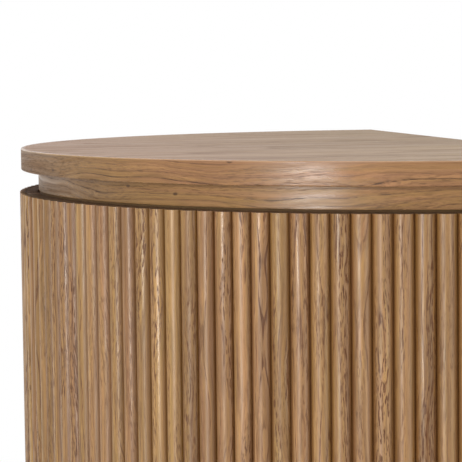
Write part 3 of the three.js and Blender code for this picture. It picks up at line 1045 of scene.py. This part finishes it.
def stemware_rails():
    """T-shaped rails whose front corners are rounded, so that the glasses' feet slide in."""
    half, stem, flange_top = RAIL_WIDTH / 2, RAIL_STEM / 2, RAIL_FOOT_Z + RAIL_FLANGE
    pattern = block((-half, RAIL_FRONT, RAIL_FOOT_Z), (half, RAIL_REAR, flange_top))
    pick(pattern, "EDGE", lambda at, edge: lies_at(edge, 1, RAIL_FRONT) and abs(abs(at.x) - half) < NEAR)
    bpy.ops.mesh.bevel(offset=RAIL_NOSE, segments=6)
    for x in (-stem, stem):
        score((x, 0, 0), (1, 0, 0))
    pick(pattern, "FACE", lambda at, face: abs(at.x) < stem and face.normal.z > 0.9)
    draw_out(z=CEILING_Z - flange_top)
    closed(pattern, RAIL_ARRIS)
    for number in range(1, RAILS + 1):
        name = f"stemware_rail_{number}"
        rail = copied(pattern, shifted(x=middle_of(name)[0]))
        wooden(rail, name, front_to_back, OAK_BANDS, "oak_bands")
    drop(pattern)


# Hardware

def disc(radius, low, high, arris, sides=SMALL_SIDES):
    return closed(rod(radius, low, high, sides), arris)


def screw_head(radius):
    """A countersunk screw head with a cross recess, face up at z = 0."""
    head = disc(radius, -SCREW_HEAD, 0, SCREW_ARRIS, SCREW_SIDES)
    length, width = radius * RECESS_LENGTH, radius * RECESS_WIDTH
    cut(head, (-length, -width, -SCREW_RECESS), (length, width, PAST))
    cut(head, (-width, -length, -SCREW_RECESS), (width, length, PAST))
    only(head)
    smooth()
    return head


def facing_out(degrees):
    """Turns what faces up about the X axis."""
    return Matrix.Rotation(math.radians(degrees), 4, "X")


def glides():
    pattern = disc(GLIDE_RADIUS, 0, GLIDE_HEIGHT, GLIDE_ARRIS)
    coat(pattern, NYLON)
    for number in range(1, GLIDES + 1):
        name = f"glide_{number}"
        x, y, _ = middle_of(name)
        dress(copied(pattern, shifted(x, y)), name, "nylon")
    drop(pattern)


def barrel(low, high):
    """One knuckle, a rolled tube round the pin."""
    piece = circle(BARREL_RADIUS, (0, 0, low), SMALL_SIDES)
    raised(high - low)
    face_outward()
    close_mesh()
    applied(piece, "SOLIDIFY", thickness=BARREL_WALL, offset=-1)
    open_mesh()
    return closed(piece, BARREL_ARRIS)


def hinge_leaf(first, facing, screw):
    """A leaf with its plate towards -X and its own knuckles, the pin's axis at x = y = 0."""
    half = LEAF_HEIGHT / 2
    inner, outer = facing * (HALF_HINGE_GAP - LEAF_THICKNESS), facing * HALF_HINGE_GAP
    near, far = -BARREL_RADIUS - PLAY, DOOR_INNER_RADIUS + LEAF_INSET - HINGE_X
    plate = block((far, min(inner, outer), -half), (near, max(inner, outer), half))
    pick(plate, "EDGE", lambda at, edge: lies_at(edge, 0, far) and abs(abs(at.z) - half) < NEAR)
    bpy.ops.mesh.bevel(offset=LEAF_CORNER, segments=5)
    feet = [number * (KNUCKLE + PLAY) - half for number in range(first, KNUCKLES, 2)]
    spans = [(foot, foot + KNUCKLE) for foot in feet]
    for z in [end for span in spans for end in span if abs(end) < half - NEAR]:
        score((0, 0, z), (0, 0, 1))
    for low, high in spans:
        pick(plate, "FACE", lambda at, face: face.normal.x > 0.9 and low < at.z < high)
        draw_out(x=BARREL_WALL)
    parts = [closed(plate, LEAF_ARRIS, 1)] + [barrel(low, high) for low, high in spans]
    for z in LEAF_SCREWS:
        place = shifted((near + far) / 2 - LEAF_THICKNESS, inner - facing * SCREW_PROUD, z)
        parts.append(copied(screw, place @ facing_out(90 * facing)))
    return joined(parts)


def hinge_pin():
    shank = LEAF_HEIGHT / 2 + PLAY
    heads = [disc(BARREL_RADIUS, low, low + PIN_HEAD, PIN_ARRIS) for low in (shank, -shank - PIN_HEAD)]
    return joined([disc(PIN_RADIUS, -shank, shank, 0), *heads])


def hinges(screw):
    patterns = {"frame_leaf": hinge_leaf(0, 1, screw), "door_leaf": hinge_leaf(1, -1, screw),
                "pin": hinge_pin()}
    for part, pattern in patterns.items():
        coat(pattern, BRASS)
        pattern.data.transform(shifted(HINGE_X, CENTRE_Y))
        other = mirrored(pattern)
        for side, source in (("right", pattern), ("left", other)):
            body = f"{side}_door" if part == "door_leaf" else "cabinet"
            for number in range(1, HINGES + 1):
                name = f"hinge_{side}_{number}_{part}"
                dress(copied(source, shifted(z=middle_of(name)[2])), name, "brass", body)
        drop(pattern, other)


def strike(screw):
    """A plate with rounded corners and two screws, at the front centre about z = 0."""
    half_width, half_height = STRIKE_WIDTH / 2, STRIKE_HEIGHT / 2
    plate = block((-half_width, CENTRE_Y - STRIKE_BACK, -half_height),
                  (half_width, CENTRE_Y - STRIKE_FACE, half_height))
    pick(plate, "EDGE", lambda at, edge: abs(at.x) > half_width - NEAR and abs(at.z) > half_height - NEAR)
    bpy.ops.mesh.bevel(offset=STRIKE_CORNER, segments=5)
    parts = [closed(plate, METAL_ARRIS)]
    for x in (-STRIKE_SCREW_X, STRIKE_SCREW_X):
        place = shifted(x, CENTRE_Y - STRIKE_FACE + SCREW_PROUD)
        parts.append(copied(screw, place @ facing_out(-90)))
    return joined(parts)


def catch(screw):
    """A magnetic catch for the carcass bottom: a case with an ear and a screw at each end, and two pole
    plates that stand a little proud of its face."""
    half, case_half, pole_half = CATCH_WIDTH / 2, CATCH_CASE / 2, POLE_WIDTH / 2
    front, rear = CENTRE_Y - CATCH_FACE, CENTRE_Y - CATCH_FACE + CATCH_DEPTH
    ear_top = CATCH_LOW_Z + CATCH_EAR
    case = block((-half, front + POLE_PROUD, CATCH_LOW_Z), (half, rear, ear_top))
    middle_z = CATCH_LOW_Z + CATCH_EAR / 2
    pick(case, "EDGE", lambda at, edge: abs(abs(at.x) - half) < NEAR and abs(at.z - middle_z) < NEAR)
    bpy.ops.mesh.bevel(offset=CATCH_CORNER, segments=4)
    for x in (-case_half, case_half):
        score((x, 0, 0), (1, 0, 0))
    pick(case, "FACE", lambda at, face: abs(at.x) < case_half and face.normal.z > 0.9)
    draw_out(z=CATCH_HIGH_Z - ear_top)
    coat(closed(case, BOARD_ARRIS), NYLON)
    parts = [case]
    for z in (CATCH_LOW_Z + height for height in POLE_HEIGHTS):
        far_corner = (pole_half, front + POLE_DEPTH, z + POLE_THICKNESS)
        parts.append(board((-pole_half, front, z), far_corner, METAL_ARRIS))
    for x in (-CATCH_SCREW_X, CATCH_SCREW_X):
        parts.append(copied(screw, shifted(x, (front + rear) / 2, ear_top + SCREW_PROUD)))
    for part in parts[1:]:
        coat(part, STEEL)
    return joined(parts)


def catches(screw):
    """A catch and its strike at the top and the bottom of each door."""
    plate, case = strike(screw), catch(screw)
    coat(plate, STEEL)
    upside_down = shifted(z=FLOOR_BOARD_Z + CEILING_Z) @ Matrix.Scale(-1, 4, (0, 0, 1))
    for side, sign in SIDES:
        turn = turned(sign * CATCH_TURN)
        for end, way_up in (("top", upside_down), ("bottom", shifted())):
            name = f"strike_{end}_{side}"
            dress(copied(plate, turn @ shifted(z=middle_of(name)[2])), name, "steel", f"{side}_door")
            dress(copied(case, turn @ way_up), f"catch_{end}_{side}", "nylon")
    drop(plate, case)


def back_screws(screw):
    """Countersunk screws round the edge of the back panel."""
    boards_z = (SLAT_FOOT_Z + BOARD / 2, CARCASS_TOP_Z - BOARD / 2)
    places = [(x, z) for x in np.linspace(*BACK_SCREWS_X) for z in boards_z]
    places += [(x, z) for x in (-BACK_SCREW_EDGE_X, BACK_SCREW_EDGE_X) for z in np.linspace(*BACK_SCREWS_Z)]
    out = REAR_Y + BACK_SCREW_PROUD
    heads = joined([copied(screw, shifted(x, out, z) @ facing_out(-90)) for x, z in places])
    heads.name = "back_panel_screws"
    coat(heads, STEEL)
    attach(heads, "cabinet")


# Stage, light and camera

def seen_directly(tree):
    """1 for rays that show a thing itself, 0 for those that only carry its light."""
    ray = node(tree, "ShaderNodeLightPath")
    mirrored_or_seen = sums("MAXIMUM", ray["Is Camera Ray"], ray["Is Glossy Ray"])
    return sums("MAXIMUM", mirrored_or_seen, ray["Is Transmission Ray"])


def floor():
    """A pale floor that turns to plain white away from the cabinet."""
    piece = circle(FLOOR_RADIUS, (0, 0, 0), FLOOR_SIDES, fill="NGON")
    piece.name = "floor"
    close_mesh()
    made, tree = material("pale floor")
    distance = node(tree, "ShaderNodeVectorMath", {0: spot(tree)}, operation="LENGTH")["Value"]
    matt = node(tree, "ShaderNodeBsdfDiffuse", {"Color": (0.86, 0.85, 0.83, 1)})[0]
    white = node(tree, "ShaderNodeEmission", {"Color": (1, 1, 1, 1), "Strength": 1.0})[0]
    share = between(distance, *FLOOR_FADE) * seen_directly(tree)
    mixed = node(tree, "ShaderNodeMixShader", {0: share, 1: matt, 2: white})[0]
    node(tree, "ShaderNodeOutputMaterial", {"Surface": mixed})
    coat(piece, made)


def surroundings():
    """White all round where they are seen, and a soft uneven light where they shine."""
    world = bpy.data.worlds.new("studio")
    world.use_nodes = True
    bpy.context.scene.world = world
    tree = world.node_tree
    tree.nodes.clear()
    heading = node(tree, "ShaderNodeTexCoord")["Generated"]
    bearing = (math.cos(FILL_BEARING), math.sin(FILL_BEARING), 0)
    towards = node(tree, "ShaderNodeVectorMath", {0: heading, 1: bearing}, operation="DOT_PRODUCT")["Value"]
    glow = sums("MAXIMUM", towards, 0.0) * FILL + AMBIENT
    strength = node(tree, "ShaderNodeMix", {"Factor": seen_directly(tree), "A": glow, "B": 1.0})[0]
    sky = node(tree, "ShaderNodeBackground", {"Color": (1, 1, 1, 1), "Strength": strength})[0]
    node(tree, "ShaderNodeOutputWorld", {"Surface": sky})


def softbox(name, place, target, reach, width, height, level):
    """A rectangular light at a place, so far from its target."""
    light = bpy.data.lights.new(name, "AREA")
    light.shape = "RECTANGLE"
    light.size = width
    light.size_y = height
    light.energy = level * (math.pi * reach) ** 2
    lamp = bpy.data.objects.new(name, light)
    link(lamp)
    lamp.visible_camera = False
    lamp.location = place
    lamp.rotation_euler = (Vector(target) - Vector(place)).to_track_quat("-Z", "Y").to_euler()


def lights():
    """Standing softboxes at bearings in degrees from +X towards +Y, and one overhead."""
    standing = (("key softbox", -45, 1.1, 0.7, 1.4, 0.42), ("right softbox", 22, 0.95, 1.8, 1.6, 0.16),
                ("rear softbox", 150, 0.55, 2.2, 1.0, 0.34))
    for name, bearing, z, width, height, level in standing:
        turn = math.radians(bearing)
        place = (SOFTBOX_REACH * math.cos(turn), CENTRE_Y + SOFTBOX_REACH * math.sin(turn), z)
        softbox(name, place, (0, CENTRE_Y, z), SOFTBOX_REACH, width, height, level)
    softbox("overhead softbox", (0, 0, TOP_Z + OVERHEAD_REACH), (0, 0, TOP_Z), OVERHEAD_REACH, 1.4, 1.2, 0.41)


def camera():
    lens = bpy.data.cameras.new("photo camera")
    lens.sensor_width = SENSOR_MM
    lens.lens = LENS_MM
    eye = bpy.data.objects.new("photo camera", lens)
    link(eye)
    aim = Matrix.Rotation(YAW, 4, "Z") @ Matrix.Rotation(math.pi / 2 - PITCH, 4, "X")
    eye.matrix_world = Matrix.Translation(EYE) @ aim @ Matrix.Rotation(ROLL, 4, "Z")
    bpy.context.scene.camera = eye


camera()
lights()
floor()
surroundings()
top_slab()
band_with_rail("neck", NECK_RADIUS, CARCASS_TOP_Z, NECK_TOP_Z)
band_with_rail("plinth", PLINTH_RADIUS, PLINTH_FOOT_Z, SLAT_FOOT_Z)
door_slats()
side_slats()
door_cores()
carcass()
shelves()
stemware_rails()
glides()
small_screw, large_screw = screw_head(SMALL_SCREW), screw_head(LARGE_SCREW)
hinges(small_screw)
catches(small_screw)
back_screws(large_screw)
drop(small_screw, large_screw)

bpy.context.scene.view_settings.view_transform = "Standard"
